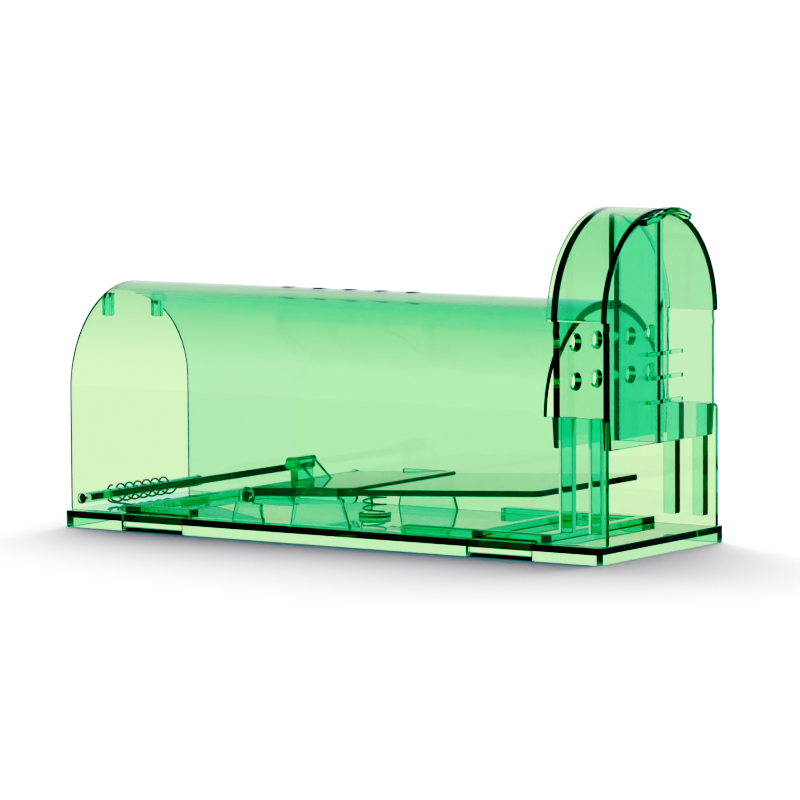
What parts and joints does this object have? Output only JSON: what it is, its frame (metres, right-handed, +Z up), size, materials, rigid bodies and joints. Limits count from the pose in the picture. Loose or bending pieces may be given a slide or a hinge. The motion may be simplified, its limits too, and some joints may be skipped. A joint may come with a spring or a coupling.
{
  "type": "live catch mouse trap",
  "caption": "Clear tunnel trap with a hinged door held by a tilting treadle and a sliding perforated bait cap.",
  "frame": {"origin": "centre of the base tray's footprint, on the surface it stands on", "axes": "+X along the tunnel towards the bait cap, +Y to the far side, +Z up"},
  "size_m": [0.1719, 0.062, 0.0892],
  "materials": {
    "clear_green_plastic": "polished clear green, dark at the edges",
    "spring_steel": "bright drawn wire"
  },
  "bodies": {
    "trap": {"base_tray": "clear_green_plastic", "door_stop_far": "clear_green_plastic", "door_stop_near": "clear_green_plastic", "door_torsion_spring": "spring_steel", "floor_rib_frame_cap_end": "clear_green_plastic", "floor_rib_frame_door_end": "clear_green_plastic", "guide_bracket_far": "clear_green_plastic", "guide_bracket_near": "clear_green_plastic", "guide_rail_inner_far": "clear_green_plastic", "guide_rail_inner_near": "clear_green_plastic", "guide_rail_outer_far": "clear_green_plastic", "guide_rail_outer_near": "clear_green_plastic", "pivot_bracket_far": "clear_green_plastic", "pivot_bracket_near": "clear_green_plastic", "return_spring": "spring_steel", "snap_clip_cap_end_far": "clear_green_plastic", "snap_clip_cap_end_near": "clear_green_plastic", "snap_clip_door_end_far": "clear_green_plastic", "snap_clip_door_end_near": "clear_green_plastic", "spring_boss": "clear_green_plastic", "tunnel_cover": "clear_green_plastic"},
    "cap": {"cap_finger_lip": "clear_green_plastic", "cap_hood": "clear_green_plastic", "cap_outer_panel": "clear_green_plastic", "cap_pierced_panel": "clear_green_plastic", "cap_web": "clear_green_plastic", "grip_rib_1": "clear_green_plastic", "grip_rib_2": "clear_green_plastic", "grip_rib_3": "clear_green_plastic"},
    "door": {"door_axle": "clear_green_plastic", "door_panel": "clear_green_plastic"},
    "treadle": {"catch_hook": "clear_green_plastic", "hook_gusset_far": "clear_green_plastic", "hook_gusset_near": "clear_green_plastic", "spring_peg": "clear_green_plastic", "treadle_axle": "clear_green_plastic", "treadle_barrel": "clear_green_plastic", "treadle_lever": "clear_green_plastic", "treadle_paddle": "clear_green_plastic", "treadle_rib_far": "clear_green_plastic", "treadle_rib_near": "clear_green_plastic"}
  },
  "joints": [
    {"name": "cap_slide", "type": "slide", "parent": "trap", "child": "cap", "axis": [0, 0, 1], "range_m": [-0.024, 0.008]},
    {"name": "door_hinge", "type": "hinge", "parent": "trap", "child": "door", "pos_m": [-0.0814, 0, 0.0076], "axis": [0, -1, 0], "range_deg": [0, 76]},
    {"name": "treadle_hinge", "type": "hinge", "parent": "trap", "child": "treadle", "pos_m": [-0.02794, 0, 0.0113], "axis": [0, 1, 0], "range_deg": [0, 5.8], "stiffness_Nm_per_rad": 0.02, "springref_deg": -17.19, "deforming": ["return_spring"]}
  ]
}
